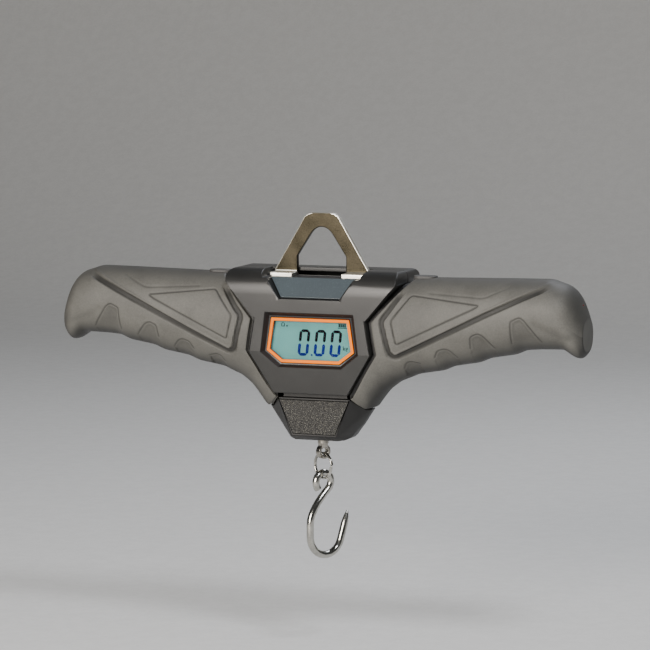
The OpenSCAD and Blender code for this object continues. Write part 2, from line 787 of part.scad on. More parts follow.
module on_nose_facet() {
    translate([0, -nose_y, 0]) rotate([90, 0, 0]) children();
}

module panel_outline(gap) {
    polygon(both_sides([[panel_low_x - gap, panel_low + gap], [nose_hx - 0.6 - gap, nose_top - 1.2 - gap]]));
}

module nose_shell() color("#242526") at_display() difference() {
    union() {
        nose_form(0);
        front_view(-nose_y + 2.5, nose_y - 2.5)
            polygon(both_sides([[foot_x - 2.5, nose_top - 2], [foot_x - 2.5, foot_z - fit]]));
    }
    difference() {
        nose_form(nose_wall + panel_t);
        for (side = [-1, 1]) translate([side * nose_screw_x, 0, nose_low - 1]) cylinder(d = 6.4, h = 40);
    }
    translate([0, 0, nose_low - 1]) cylinder(d = stud_d + 2 * shaft_gap + 4.4, h = 8);
    translate([0, 0, coupler_low - 1]) cylinder(d = coupler_d + 2, h = 60);
    on_nose_facet() translate([0, 0, -panel_t]) linear_extrude(panel_t + 2) panel_outline(0);
    for (side = [-1, 1]) translate([side * nose_screw_x, 0, nose_low - 1]) {
        cylinder(d = nose_screw_d + 0.4, h = 60);
        cylinder(d = nose_screw_d + 2.8, h = 10);
    }
}

module nose_panel() color("#4a4946") at_display() on_nose_facet()
    translate([0, 0, -panel_t + eps]) linear_extrude(panel_t) panel_outline(fit);

module nose_screws() color("silver") at_display()
    for (side = [-1, 1]) translate([side * nose_screw_x, 0, nose_low + 6.8]) {
        difference() {
            cylinder(d = nose_screw_d + 2.4, h = 2.2);
            translate([0, 0, -1]) cylinder(d = nose_screw_d * 0.8, h = 2, $fn = 6);
        }
        cylinder(d = nose_screw_d - 0.3, h = foot_z + wall - 0.2 - nose_low - 6.8);
    }

// ---- Swivel, ring and hook ----

module swivel_coupler() color("#9ea2a6") at_display() difference() {
    union() {
        translate([0, 0, cell_low + eps - 1]) cylinder(d = bolt_d - 0.1, h = cell_h * 0.22 + 1);
        translate([0, 0, coupler_low]) cylinder(d = coupler_d, h = cell_low - eps - coupler_low);
    }
    translate([0, 0, coupler_low - 1])
        cylinder(d = cavity_d, h = nut_h + washer_t + head_h + 2 * free_gap + 1);
}

module coupler_nut() color("#8f9397") at_display() difference() {
    union() {
        translate([0, 0, coupler_low]) cylinder(d = cavity_d - 0.1, h = nut_h);
        translate([0, 0, coupler_low - 1.2]) cylinder(d = coupler_d - 1, h = 1.15);
        translate([0, 0, coupler_low - 0.1]) cylinder(d = cavity_d - 1, h = 0.2);
    }
    translate([0, 0, coupler_low - 2]) cylinder(d = stud_d + 2 * shaft_gap, h = nut_h + 3);
}

module thrust_washer() color("#d9d2c0") at_display() difference() {
    translate([0, 0, coupler_low + nut_h + eps]) cylinder(d = head_d, h = washer_t);
    translate([0, 0, coupler_low + nut_h - 1]) cylinder(d = stud_d + 2 * shaft_gap, h = washer_t + 2);
}

module turned() {
    rotate([0, 0, swivel_turn]) children();
}

module swivel_stud() color("#cfd1d3") at_display() turned() difference() {
    union() {
        translate([0, 0, coupler_low + nut_h + washer_t + 2 * eps]) cylinder(d = head_d, h = head_h);
        translate([0, 0, eye_z + eye_r + 1])
            cylinder(d = stud_d, h = coupler_low + nut_h + washer_t - eye_z - eye_r);
        translate([0, 0, eye_z + 1]) cylinder(d1 = eye_t + 0.4, d2 = stud_d, h = eye_r);
        translate([0, 0, eye_z]) rotate([0, 90, 0]) cylinder(r = eye_r, h = eye_t, center = true);
    }
    translate([0, 0, eye_z]) rotate([0, 90, 0]) cylinder(r = eye_hole_r, h = stud_d + 2, center = true);
}

module stud_seal() color("#161616") at_display() difference() {
    translate([0, 0, nose_low - 0.5]) cylinder(d = stud_d + 4.2, h = 5);
    translate([0, 0, nose_low - 1]) cylinder(d = stud_d + 2 * shaft_gap, h = 8);
}

module split_ring() color("#d8dadb") at_display() turned()
    translate([0, 0, ring_pivot_z - ring_mid_r]) rotate([90, 0, 0]) rotate_extrude()
        for (side = [-1, 1]) translate([ring_mid_r, side * ring_wire * 0.46]) circle(d = ring_wire, $fn = 24);

// Points of an arc, from one angle to another
function arc(centre, r, from, to, steps) =
    [for (i = [0:steps]) let (a = from + (to - from) * i / steps) centre + r * [cos(a), sin(a)]];

// Middle line of the hook's wire in its own plane: eye, shank, bend and point
function hook_line() =
    let (eye = arc([0, hook_eye_z], hook_eye_r, 222, -50, 20), leave = eye[20],
        shank_y = hook_balance - bend_r, fall = (leave[0] - shank_y) * tan(40),
        via = [shank_y, leave[1] - fall],
        bend = arc([hook_balance, bend_z], bend_r, 180, 342, 14), last = bend[14],
        rise = [sin(18), cos(18)])
    concat(eye, corner(leave + 0.06 * (via - leave), via, via - [0, 8], 6), bend,
        [last + 5 * rise, last + 9 * rise, last + 13 * rise, last + 16 * rise]);

module hook() color("#c6c9cb") at_display() turned() {
    line = hook_line();
    slim = [1, 1, 0.7, 0.25];
    wire([for (p = line) [0, p[0], p[1]]],
        [for (i = [0:len(line) - 1]) hook_wire * (i < len(line) - 4 ? 1 : slim[i - len(line) + 4])],
        14, [1, 0, 0]);
}

// ---- Batteries and their door ----

module battery_tray() color("#3a3b3d") at_display() difference() {
    translate([-tray_x, tray_front, tray_low])
        cube([2 * tray_x, tray_back - tray_front, tray_top - tray_low]);
    translate([-tray_x + tray_wall, tray_front + tray_wall, tray_low + tray_wall])
        cube([2 * (tray_x - tray_wall), back_y, tray_top - tray_low - 2 * tray_wall]);
}

module battery_at(z, side) {
    translate([side * (spring_len / 2 - 0.2) - side * battery_len / 2, battery_y, z])
        rotate([0, side * 90, 0]) children();
}

module batteries() color("#c9a227") at_display()
    for (row = [[battery_low_z, 1], [battery_top_z, -1]]) battery_at(row[0], row[1]) {
        cylinder(d = battery_d, h = battery_len - 1);
        cylinder(d = battery_d * 0.36, h = battery_len);
    }

module contact_plates() color("#c8c4b8") at_display()
    for (side = [-1, 1], z = [battery_low_z, battery_top_z])
        translate([side * (tray_x - tray_wall - 0.35) - 0.15, battery_y - 4, z - 4]) cube([0.3, 8, 8]);

// Points of one coil spring that narrows towards the cell
function spring_points(r1, r2, height, turns) =
    [for (i = [0:turns * 10]) let (t = i / (turns * 10), a = 36 * i, r = r1 + (r2 - r1) * t)
        [r * cos(a), r * sin(a), height * t]];

// Wire through a list of points, with one diameter or one for each point
module wire(points, d, sides = 6, wire_side = [0.12, 0, 1]) {
    last = len(points) - 1;
    loft([for (i = [0:last])
        let (run = points[min(i + 1, last)] - points[max(i - 1, 0)], w = run / norm(run),
            u0 = cross(w, wire_side), u = u0 / norm(u0), v = cross(w, u))
            [for (k = [0:sides - 1]) let (a = 360 * k / sides)
                points[i] + (is_list(d) ? d[i] : d) / 2 * (cos(a) * u + sin(a) * v)]]);
}

module contact_springs() color("#d0cdc4") at_display()
    for (row = [[battery_low_z, 1], [battery_top_z, -1]])
        translate([-row[1] * (tray_x - tray_wall - 0.9), battery_y, row[0]]) rotate([0, row[1] * 90, 0])
            wire(spring_points(3.6, 2, spring_len - 1.4, 3), 0.6);

// Places a shape that stands on Z along the door's hinge line
module at_hinge(x) {
    translate([x, hinge_y, hinge_z]) rotate([0, 90, 0]) children();
}

module battery_door() color("#2e2f31") at_display() difference() {
    union() {
        translate([-door_x, door_in, door_low]) cube([2 * door_x, door_t, door_top - door_low]);
        at_hinge(0) cylinder(r = knuckle_r, h = 2 * knuckle_x - free_gap, center = true);
        translate([-knuckle_x + free_gap / 2, hinge_y, hinge_z])
            cube([2 * knuckle_x - free_gap, knuckle_r, door_low - hinge_z + 1]);
    }
    at_hinge(0) cylinder(d = pin_d + 2 * shaft_gap, h = 2 * knuckle_x + 2, center = true);
    posts([[0, latch_z]], latch_shaft_d + 2 * shaft_gap, door_in - 1, back_y + 1);
    posts([[0, latch_z]], latch_d + 2 * free_gap, back_y - 1, back_y + 1);
}

module door_hinge_pin() color("silver") at_display()
    at_hinge(0) cylinder(d = pin_d, h = 2 * knuckle_end - free_gap, center = true);

module door_seal() color("#161616") at_display()
    front_view(door_in - seal_t + eps, door_in - eps) difference() {
        translate([-tray_x, tray_low]) square([2 * tray_x, tray_top - tray_low]);
        translate([-tray_x + 1.4, tray_low + 1.4]) square([2 * tray_x - 2.8, tray_top - tray_low - 2.8]);
    }

// Coin-slot head, shaft and tongue
module turn_latch() color("#55585b") at_display() difference() {
    union() {
        posts([[0, latch_z]], latch_d, back_y - 1 + eps, back_y);
        posts([[0, latch_z]], latch_shaft_d, door_in - 1.6, back_y - 0.6);
        translate([-2.5, door_in - 1.7, latch_z - 2.5]) cube([latch_reach + 2.5, 1.3, 5]);
    }
    translate([-latch_d, back_y - 0.6, latch_z - 0.6]) cube([2 * latch_d, 1, 1.2]);
}

// ---- Leads ----

module cell_lead() color("#b33a2c") at_display() wire(cell_route, lead_d);

module battery_lead() color("#2b2b2b") at_display() wire(battery_route, lead_d);

front_cover();
rear_cover();
cover_screws();
badge_plate();
lcd_bezel();
lcd_window();
lcd_panel();
light_guide();
circuit_board();
board_parts();
board_screws();
crossbar();
hanger_loop();
hanger_screws();
load_cell();
load_cell_bolt();
strain_gauges();
left_grip_core();
right_grip_core();
left_grip_sleeve();
right_grip_sleeve();
grip_screws();
end_plugs();
power_button();
unit_button();
switch_boards();
button_switches();
nose_shell();
nose_panel();
nose_screws();
swivel_coupler();
coupler_nut();
thrust_washer();
swivel_stud();
stud_seal();
split_ring();
hook();
battery_tray();
batteries();
contact_plates();
contact_springs();
battery_door();
door_seal();
door_hinge_pin();
turn_latch();
cell_lead();
battery_lead();
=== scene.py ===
"""Digital fish scale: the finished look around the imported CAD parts.

Sizes named in mm count heights from the middle of the display: X right, -Y to the front, Z up.
Meshes are in metres, in the frame of the part, whose origin lies hang_drop above that middle.
"""

import json
import math

import bmesh
import bpy
import numpy as np
from mathutils import Matrix, Vector, noise


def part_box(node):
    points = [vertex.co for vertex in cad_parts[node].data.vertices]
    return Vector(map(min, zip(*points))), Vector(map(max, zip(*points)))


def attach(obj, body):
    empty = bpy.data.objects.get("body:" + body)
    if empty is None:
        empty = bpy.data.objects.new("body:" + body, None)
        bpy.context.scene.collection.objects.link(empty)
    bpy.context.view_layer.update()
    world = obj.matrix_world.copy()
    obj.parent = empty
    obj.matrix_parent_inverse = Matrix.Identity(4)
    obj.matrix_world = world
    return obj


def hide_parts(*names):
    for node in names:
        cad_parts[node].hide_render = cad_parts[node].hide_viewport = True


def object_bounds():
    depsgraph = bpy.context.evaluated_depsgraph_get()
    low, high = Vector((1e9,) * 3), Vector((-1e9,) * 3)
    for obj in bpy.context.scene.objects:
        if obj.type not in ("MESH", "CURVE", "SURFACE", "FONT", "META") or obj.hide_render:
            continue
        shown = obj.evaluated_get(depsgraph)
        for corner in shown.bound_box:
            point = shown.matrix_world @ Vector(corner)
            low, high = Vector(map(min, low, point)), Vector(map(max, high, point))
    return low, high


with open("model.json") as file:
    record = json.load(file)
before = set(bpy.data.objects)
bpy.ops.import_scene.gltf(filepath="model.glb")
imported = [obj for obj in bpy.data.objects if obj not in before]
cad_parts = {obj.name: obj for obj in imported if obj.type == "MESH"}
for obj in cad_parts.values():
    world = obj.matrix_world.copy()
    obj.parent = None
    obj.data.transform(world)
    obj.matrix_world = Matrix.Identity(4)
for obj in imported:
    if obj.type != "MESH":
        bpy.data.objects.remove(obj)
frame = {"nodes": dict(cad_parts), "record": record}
cad_low, cad_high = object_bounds()

MM = 0.001


def size_of(node):
    """Lowest and highest corner of a CAD node, in mm."""
    low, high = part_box(node)
    return low / MM, high / MM


window_low, window_high = size_of("lcd_window")
panel_low = size_of("lcd_panel")[0]
grip_high = size_of("right_grip_sleeve")[1]
hang_drop = -(window_low.z + window_high.z) / 2
grip_end = grip_high.x
half_grip = grip_high.y


# ---- Camera, light and floor ----

def colour(code):
    """Linear colour of an sRGB hex value."""
    parts = [int(code[i:i + 2], 16) / 255 for i in (1, 3, 5)]
    return tuple(c / 12.92 if c <= 0.04045 else ((c + 0.055) / 1.055) ** 2.4 for c in parts) + (1.0,)


def look_from(target, azimuth, elevation, roll, distance):
    """Matrix of a camera or light that stands at these angles, in degrees, and looks at the target."""
    a, e, r = (math.radians(v) for v in (azimuth, elevation, roll))
    back = Vector((math.sin(a) * math.cos(e), -math.cos(a) * math.cos(e), math.sin(e)))
    level = Vector((math.cos(a), math.sin(a), 0))
    right = level * math.cos(r) + back.cross(level) * math.sin(r)
    turn = Matrix((right, back.cross(right), back)).transposed().to_4x4()
    return Matrix.Translation(Vector(target) + back * distance) @ turn


def stand(name, data, place):
    made = bpy.data.objects.new(name, data)
    bpy.context.scene.collection.objects.link(made)
    made.matrix_world = place
    return made


def camera():
    lens = bpy.data.cameras.new("camera")
    lens.sensor_width = 36
    lens.lens = 192.6
    lens.clip_end = 20
    place = look_from((0.0013, 0, -0.0533), 20.54, 6.34, -0.22, 1.8808)
    bpy.context.scene.camera = stand("camera", lens, place)


def softbox(name, azimuth, elevation, distance, size, watts, tint):
    """Square area light that faces the middle of the scale."""
    light = bpy.data.lights.new(name, "AREA")
    light.size = size
    light.energy = watts
    light.color = colour(tint)[:3]
    stand(name, light, look_from((0, 0, -0.06), azimuth, elevation, 0, distance))


def studio():
    softbox("key_light", -10, 14, 1.6, 0.7, 34, "#fff8f0")
    softbox("high_light", 42, 48, 1.4, 0.3, 9, "#f6f8ff")
    softbox("back_light", 168, 50, 1.3, 0.5, 8, "#f2f6ff")
    world = bpy.data.worlds.new("studio")
    world.use_nodes = True
    world.node_tree.nodes["Background"].inputs["Color"].default_value = colour("#eef1f2")
    world.node_tree.nodes["Background"].inputs["Strength"].default_value = 0.1
    bpy.context.scene.world = world


def floor():
    """Pale floor below the hook that rises into a wall behind the scale."""
    shape = bmesh.new()
    bmesh.ops.create_grid(shape, x_segments=1, y_segments=40, size=3.0)
    below_hook = 50 * MM
    low = cad_low.z - below_hook
    bend, back = 0.8, 1.4
    for v in shape.verts:
        past = v.co.y - back
        v.co.z = low
        if past > 0:
            turn = min(past / bend, math.pi / 2)
            rest = past - turn * bend
            v.co.y = back + bend * math.sin(turn)
            v.co.z = low + bend * (1 - math.cos(turn)) + max(rest, 0)
    mesh = bpy.data.meshes.new("floor")
    shape.to_mesh(mesh)
    shape.free()
    mesh.shade_smooth()
    mesh.materials.append(moulded("pale_paper", "#dededc", "#e4e4e2", 0.9, 2.0, 0.02))
    stand("floor", mesh, Matrix.Identity(4))


# ---- Materials ----

def add(tree, kind, inputs=None, stops=None, **settings):
    """Adds a node with its settings. An input given a socket is linked, and any other is set."""
    made = tree.nodes.new(kind)
    for name, value in settings.items():
        setattr(made, name, value)
    for key, value in (inputs or {}).items():
        if isinstance(value, bpy.types.NodeSocket):
            tree.links.new(value, made.inputs[key])
        else:
            made.inputs[key].default_value = value
    for i, (at, tone) in enumerate(stops or []):
        ramp = made.color_ramp.elements
        stop = ramp[i] if i < 2 else ramp.new(at)
        stop.position = at
        stop.color = tone
    return made


def begin(name, **sockets):
    """A material with one shader, whose constant values are set on its own sockets."""
    made = bpy.data.materials.new(name)
    made.use_nodes = True
    tree = made.node_tree
    tree.nodes.clear()
    values = {key.replace("_", " "): value for key, value in sockets.items()}
    shader = add(tree, "ShaderNodeBsdfPrincipled", values)
    add(tree, "ShaderNodeOutputMaterial", {"Surface": shader.outputs["BSDF"]})
    place = add(tree, "ShaderNodeTexCoord").outputs["Object"]
    return made, tree, shader, place


def per_mm(size):
    """Scale of a pattern in metres whose features are this many mm across."""
    return 1 / (size * MM)


def moulded(name, dark, light, rough, grain, depth, patch=9.0, **sockets):
    """A moulded surface: two close tones in soft patches, and the fine grain that the mould leaves.
    grain and patch are sizes in mm, and depth is the height of the grain in mm."""
    made, tree, shader, place = begin(name, **sockets)
    cloud = add(tree, "ShaderNodeTexNoise", {"Vector": place, "Scale": per_mm(patch), "Detail": 3.0})
    fleck = add(tree, "ShaderNodeTexNoise", {"Vector": place, "Scale": per_mm(grain), "Detail": 2.0})
    both = add(tree, "ShaderNodeMath", {0: cloud.outputs[0], 1: fleck.outputs[0]}, operation="ADD")
    mean = add(tree, "ShaderNodeMath", {0: both.outputs[0], 1: 0.5}, operation="MULTIPLY")
    tone = add(tree, "ShaderNodeValToRGB", {0: mean.outputs[0]},
               [(0.4, colour(dark)), (0.6, colour(light))])
    gloss = add(tree, "ShaderNodeMapRange",
                {0: fleck.outputs[0], 1: 0.3, 2: 0.7, 3: rough - 0.05, 4: rough + 0.05})
    bump = add(tree, "ShaderNodeBump", {"Height": fleck.outputs[0], "Distance": depth * MM, "Strength": 1.0})
    tree.links.new(tone.outputs[0], shader.inputs["Base Color"])
    tree.links.new(gloss.outputs[0], shader.inputs["Roughness"])
    tree.links.new(bump.outputs[0], shader.inputs["Normal"])
    return made


def metal(name, dark, light, rough, streak, depth, stretch=(1, 1, 1), **sockets):
    """A metal with the marks of its making: streak is their width in mm, and stretch makes them long."""
    made, tree, shader, place = begin(name, Metallic=1.0, **sockets)
    turn = add(tree, "ShaderNodeMapping", {"Vector": place, "Scale": stretch})
    marks = add(tree, "ShaderNodeTexNoise",
                {"Vector": turn.outputs[0], "Scale": per_mm(streak), "Detail": 4.0})
    cloud = add(tree, "ShaderNodeTexNoise", {"Vector": place, "Scale": per_mm(streak * 14), "Detail": 2.0})
    both = add(tree, "ShaderNodeMath", {0: cloud.outputs[0], 1: marks.outputs[0]}, operation="ADD")
    mean = add(tree, "ShaderNodeMath", {0: both.outputs[0], 1: 0.5}, operation="MULTIPLY")
    tone = add(tree, "ShaderNodeValToRGB", {0: mean.outputs[0]},
               [(0.38, colour(dark)), (0.62, colour(light))])
    gloss = add(tree, "ShaderNodeMapRange",
                {0: mean.outputs[0], 1: 0.35, 2: 0.65, 3: rough - 0.07, 4: rough + 0.08})
    bump = add(tree, "ShaderNodeBump", {"Height": marks.outputs[0], "Distance": depth * MM, "Strength": 1.0})
    tree.links.new(tone.outputs[0], shader.inputs["Base Color"])
    tree.links.new(gloss.outputs[0], shader.inputs["Roughness"])
    tree.links.new(bump.outputs[0], shader.inputs["Normal"])
    return made


def grip_rubber():
    """Thermoplastic rubber moulded over nylon: matt and warm grey. Painted shade darkens the grooves, the top
    and most of all the side where the fingers lie, so that the flat sides stay paler."""
    made, tree, shader, place = begin("grip_rubber_overmoulded", Specular_IOR_Level=0.35, IOR=1.5)
    cloud = add(tree, "ShaderNodeTexNoise",
                {"Vector": place, "Scale": per_mm(16), "Detail": 4.0, "Roughness": 0.6})
    fleck = add(tree, "ShaderNodeTexNoise",
                {"Vector": place, "Scale": per_mm(0.9), "Detail": 3.0, "Roughness": 0.7})
    skin = add(tree, "ShaderNodeTexNoise", {"Vector": place, "Scale": per_mm(0.35), "Detail": 1.0})
    both = add(tree, "ShaderNodeMath", {0: cloud.outputs[0], 1: fleck.outputs[0]}, operation="ADD")
    mean = add(tree, "ShaderNodeMath", {0: both.outputs[0], 1: 0.5}, operation="MULTIPLY")
    tone = add(tree, "ShaderNodeValToRGB", {0: mean.outputs[0]},
               [(0.38, colour("#54534f")), (0.62, colour("#64635e"))])
    # Painted shade: the groove attribute says how far the rubber is darkened towards near black #141413
    groove = add(tree, "ShaderNodeAttribute", attribute_name="groove").outputs["Fac"]
    shaded_tone = add(tree, "ShaderNodeMix", {0: groove, 6: tone.outputs[0], 7: colour("#141413")},
               data_type="RGBA")
    gloss = add(tree, "ShaderNodeMapRange", {0: fleck.outputs[0], 1: 0.3, 2: 0.7, 3: 0.5, 4: 0.66})
    bump = add(tree, "ShaderNodeBump", {"Height": skin.outputs[0], "Distance": 0.03 * MM, "Strength": 1.0})
    tree.links.new(shaded_tone.outputs[2], shader.inputs["Base Color"])
    tree.links.new(gloss.outputs[0], shader.inputs["Roughness"])
    tree.links.new(bump.outputs[0], shader.inputs["Normal"])
    return made


def nose_grain():
    """Nylon moulded in a coarsely blasted cavity. Its colour follows the grains' height: painted highlight on
    their crowns and painted shade in the gaps between.
    """
    made, tree, shader, place = begin("nylon_coarse_grain", Roughness=0.5)
    grains = add(tree, "ShaderNodeTexVoronoi", {"Vector": place, "Scale": per_mm(0.6), "Randomness": 1.0})
    fleck = add(tree, "ShaderNodeTexNoise", {"Vector": place, "Scale": per_mm(0.45), "Detail": 2.0})
    mix = add(tree, "ShaderNodeMath", {0: fleck.outputs[0], 1: grains.outputs["Distance"]},
              operation="SUBTRACT")
    # Painted shade in the gaps, painted highlight on the crowns
    tone = add(tree, "ShaderNodeValToRGB", {0: mix.outputs[0]},
               [(0.02, colour("#191815")), (0.2, colour("#2f2e2a")), (0.4, colour("#7d7b71"))])
    bump = add(tree, "ShaderNodeBump", {"Height": mix.outputs[0], "Distance": 0.2 * MM, "Strength": 1.0})
    tree.links.new(tone.outputs[0], shader.inputs["Base Color"])
    tree.links.new(bump.outputs[0], shader.inputs["Normal"])
    return made


def bezel_orange():
    """Orange ABS, moulded and satin. Its colour is painted redder with depth into the pocket, as painted
    reflected light bounced between its orange walls.
    """
    made, tree, shader, place = begin("abs_orange_satin", Roughness=0.5, Specular_IOR_Level=0.08,
                                      Subsurface_Weight=0.12,
                                      Subsurface_Radius=(0.6 * MM, 0.25 * MM, 0.1 * MM), Subsurface_Scale=1.0)
    split = add(tree, "ShaderNodeSeparateXYZ", {0: place})
    front, back = (v * MM for v in (size_of("lcd_bezel")[0].y, size_of("lcd_bezel")[1].y))
    depth = add(tree, "ShaderNodeMapRange", {0: split.outputs["Y"], 1: front, 2: back, 3: 0.0, 4: 1.0})
    grain = add(tree, "ShaderNodeTexNoise", {"Vector": place, "Scale": per_mm(0.5), "Detail": 2.0})
    # Painted reflected light: bright orange on the front, redder on faces that lie deeper
    tone = add(tree, "ShaderNodeValToRGB", {0: depth.outputs[0]},
               [(0.1, colour("#ff8208")), (0.4, colour("#e03c02"))])
    bump = add(tree, "ShaderNodeBump", {"Height": grain.outputs[0], "Distance": 0.01 * MM, "Strength": 1.0})
    tree.links.new(tone.outputs[0], shader.inputs["Base Color"])
    tree.links.new(bump.outputs[0], shader.inputs["Normal"])
    return made


def clear_acrylic():
    """Clear acrylic, cut from polished sheet: all but unseen, apart from its faint gloss."""
    made, tree, shader, place = begin("acrylic_polished", Base_Color=colour("#16201f"), Alpha=0.06, IOR=1.49)
    haze = add(tree, "ShaderNodeTexNoise", {"Vector": place, "Scale": per_mm(6), "Detail": 2.0})
    gloss = add(tree, "ShaderNodeMapRange", {0: haze.outputs[0], 1: 0.3, 2: 0.7, 3: 0.06, 4: 0.14})
    tree.links.new(gloss.outputs[0], shader.inputs["Roughness"])
    return made


# The finish of each material slot in the record
finishes = {
    # Glass-filled ABS from a spark-eroded mould: dark warm grey, half gloss, with an even fine grain
    "housing_plastic": moulded("abs_spark_eroded", "#1f1f1e", "#262625", 0.36, 0.4, 0.012),
    # Steel with bright zinc plating, which is slightly cloudy
    "zinc_steel": metal("steel_zinc_plated", "#a9a9a4", "#d0d0cc", 0.3, 0.4, 0.005),
    # ABS with a polished moulded face: blue-grey, with a clear gloss
    "badge_gloss": moulded("abs_polished", "#434b50", "#465055", 0.24, 0.5, 0.001, patch=30.0),
    "orange_plastic": bezel_orange(),
    "clear_window": clear_acrylic(),
    # Liquid crystal cell with a matt polariser over a reflector: blue-green, with a fine haze
    "lcd_glass": moulded("lcd_matt_polariser", "#5c9b99", "#62a3a0", 0.5, 0.5, 0.002,
                         Specular_IOR_Level=0.2),
    # White polystyrene light guide, moulded
    "white_plastic": moulded("polystyrene_white", "#dfe2e0", "#eceeec", 0.4, 1.0, 0.01),
    # Fibreglass laminate under green lacquer: the weave shows as a faint grain
    "board_laminate": moulded("laminate_green_lacquer", "#0f4a28", "#1a6236", 0.3, 0.5, 0.01,
                              Coat_Weight=0.5),
    # Epoxy moulding compound, moulded: black and dull
    "black_resin": moulded("epoxy_moulded", "#111113", "#1c1d1f", 0.5, 0.3, 0.01),
    # Extruded aluminium with a mill finish: fine lines along its length
    "aluminium_bar": metal("aluminium_extruded", "#a5a8aa", "#c9cbcc", 0.38, 0.3, 0.01, (0.05, 1, 1)),
    # Stainless plate, laser cut and tumbled: satin and faintly brown, with small round dents. Its colour is
    # painted dark, as a painted reflection of dark surroundings
    "stainless_plate": metal("stainless_tumbled", "#2c2920", "#403b30", 0.33, 0.7, 0.03),
    # Polyimide film, bonded flat
    "amber_film": moulded("polyimide_film", "#8c4f12", "#b0701f", 0.25, 0.6, 0.004),
    # Black glass-filled nylon, moulded: dull, with a soft grain
    "nylon_black": moulded("nylon_glass_filled", "#0f0f0e", "#171615", 0.5, 0.45, 0.02),
    "grip_rubber": grip_rubber(),
    # Red acetal, moulded and glossy
    "red_plastic": moulded("acetal_red", "#8e1020", "#b01c2c", 0.25, 0.6, 0.004),
    # Silicone rubber, moulded: dark grey, with a dry bloom
    "button_rubber": moulded("silicone_grey", "#454443", "#525150", 0.6, 0.35, 0.015),
    "nose_grain": nose_grain(),
    # Stainless bar, turned on a lathe: fine rings across its length
    "stainless_turned": metal("stainless_turned", "#8c8880", "#b5b1a8", 0.24, 0.2, 0.006, (0.1, 0.1, 1)),
    # Acetal washer, stamped from sheet
    "washer_polymer": moulded("acetal_natural", "#cfc8b6", "#ddd7c8", 0.4, 0.6, 0.006),
    # Nitrile rubber, moulded: black and dull
    "seal_rubber": moulded("nitrile_black", "#0c0c0c", "#161616", 0.6, 0.4, 0.01),
    # Stainless spring wire, drawn and polished: bright, with drawing lines too fine to part
    "stainless_wire": metal("stainless_wire_polished", "#9d9c96", "#c8c6bf", 0.16, 0.5, 0.003),
    # Printed shrink film round a cell, in one plain colour
    "cell_wrap": moulded("shrink_film", "#8c6a14", "#a9821d", 0.22, 1.2, 0.006, Coat_Weight=0.3),
    # Spring steel strip, nickel plated and stamped
    "nickel_strip": metal("nickel_plated_strip", "#aaa596", "#cfcabd", 0.25, 0.3, 0.004),
    # Grey acetal, moulded
    "latch_plastic": moulded("acetal_grey", "#3c3f41", "#4b4e50", 0.35, 0.5, 0.008),
    # Red and black vinyl insulation, extruded
    "lead_red": moulded("vinyl_red", "#7a1a12", "#96261b", 0.35, 0.6, 0.004),
    "lead_black": moulded("vinyl_black", "#151515", "#202020", 0.35, 0.6, 0.004),
}
# The recess round the display is moulded dull and painted near black, as painted shade for the shade that
# falls in its depth
pocket_painted_shade = moulded("abs_recess_painted_shade", "#0b0b0a", "#11110f", 0.6, 0.4, 0.015)
# Painted highlight: the hanger's edges that face up or outwards, and its feet, are coloured bright, against
# the darker tumbled faces
edge_painted_highlight = metal("stainless_edge_painted_highlight", "#dedbd0", "#f2f0e8", 0.36, 0.5, 0.008)
slot_of = {part["node"]: part["material_slot"] for part in frame["record"]["subparts"]}
body_of = {node: body for body, nodes in frame["record"]["behaviour"]["bodies"].items() for node in nodes}


# ---- Pieces made from CAD parts ----

def finish_piece(name, shape, like, smooth=35, stands_for=None, coats=None):
    """Turns a bmesh in metres into a piece that rides like a CAD node. It has that node's finish,
    unless coats gives its finishes."""
    mesh = bpy.data.meshes.new(name)
    shape.to_mesh(mesh)
    shape.free()
    for finish in coats or [finishes[slot_of[like]]]:
        mesh.materials.append(finish)
    mesh.shade_smooth()
    mesh.set_sharp_from_angle(angle=math.radians(smooth))
    made = stand(name, mesh, Matrix.Identity(4))
    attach(made, body_of[like])
    if stands_for:
        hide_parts(*stands_for)
    return made


def from_cad(*nodes):
    """CAD nodes as one bmesh, with their loose triangles merged and each flat face made whole."""
    shape = bmesh.new()
    for node in nodes:
        shape.from_mesh(frame["nodes"][node].data)
    bmesh.ops.remove_doubles(shape, verts=shape.verts, dist=2e-6)
    bmesh.ops.dissolve_limit(shape, angle_limit=math.radians(0.6), verts=shape.verts, edges=shape.edges)
    return shape


def break_edges(shape, edges, width, segments):
    bmesh.ops.bevel(shape, geom=edges, offset=width * MM, offset_type="OFFSET", affect="EDGES",
                    segments=segments, profile=0.5, material=-1, clamp_overlap=False)


def crisp(node, width, segments=2, angle=30, rim=None, rim_width=0.9, accent=None, accent_on=None):
    """A CAD part with each hard edge broken by a small round, and a larger one on the edges that rim picks.
    Faces that accent_on picks take the accent finish. Faces with openings are cut into triangles first,
    so that the openings stay open, and large flat faces keep their even shading."""
    shape = from_cad(node)
    bmesh.ops.triangulate(shape, faces=[f for f in shape.faces if len(f.verts) > 4])
    shape.normal_update()
    if rim:
        break_edges(shape, [e for e in shape.edges if e.is_manifold and rim(e)], rim_width, 3)
        shape.normal_update()
    hard = [e for e in shape.edges if e.is_manifold and e.calc_face_angle() > math.radians(angle)]
    break_edges(shape, hard, width, segments)
    low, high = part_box(node)
    for v in shape.verts:
        v.co = [min(max(c, a), b) for c, a, b in zip(v.co, low, high)]
    shape.normal_update()
    for face in shape.faces:
        face.material_index = 1 if accent_on and accent_on(face) else 0
    made = finish_piece(node + "_finished", shape, node, smooth=60, stands_for=[node],
                        coats=[finishes[slot_of[node]], accent] if accent else None)
    weigh = made.modifiers.new("even_shading", "WEIGHTED_NORMAL")
    weigh.keep_sharp = True
    return made


def outline_edge(edge):
    """Whether an edge runs round the outside of the housing's front."""
    front, side = sorted(edge.link_faces, key=lambda f: f.normal.y)
    middle = (edge.verts[0].co + edge.verts[1].co) / 2
    outward = Vector((middle.x, 0, middle.z + hang_drop))
    return (front.normal.y < -0.9 and abs(side.normal.y) < 0.35 and side.normal.dot(outward) > 0
            and side.normal.z < 0.7)


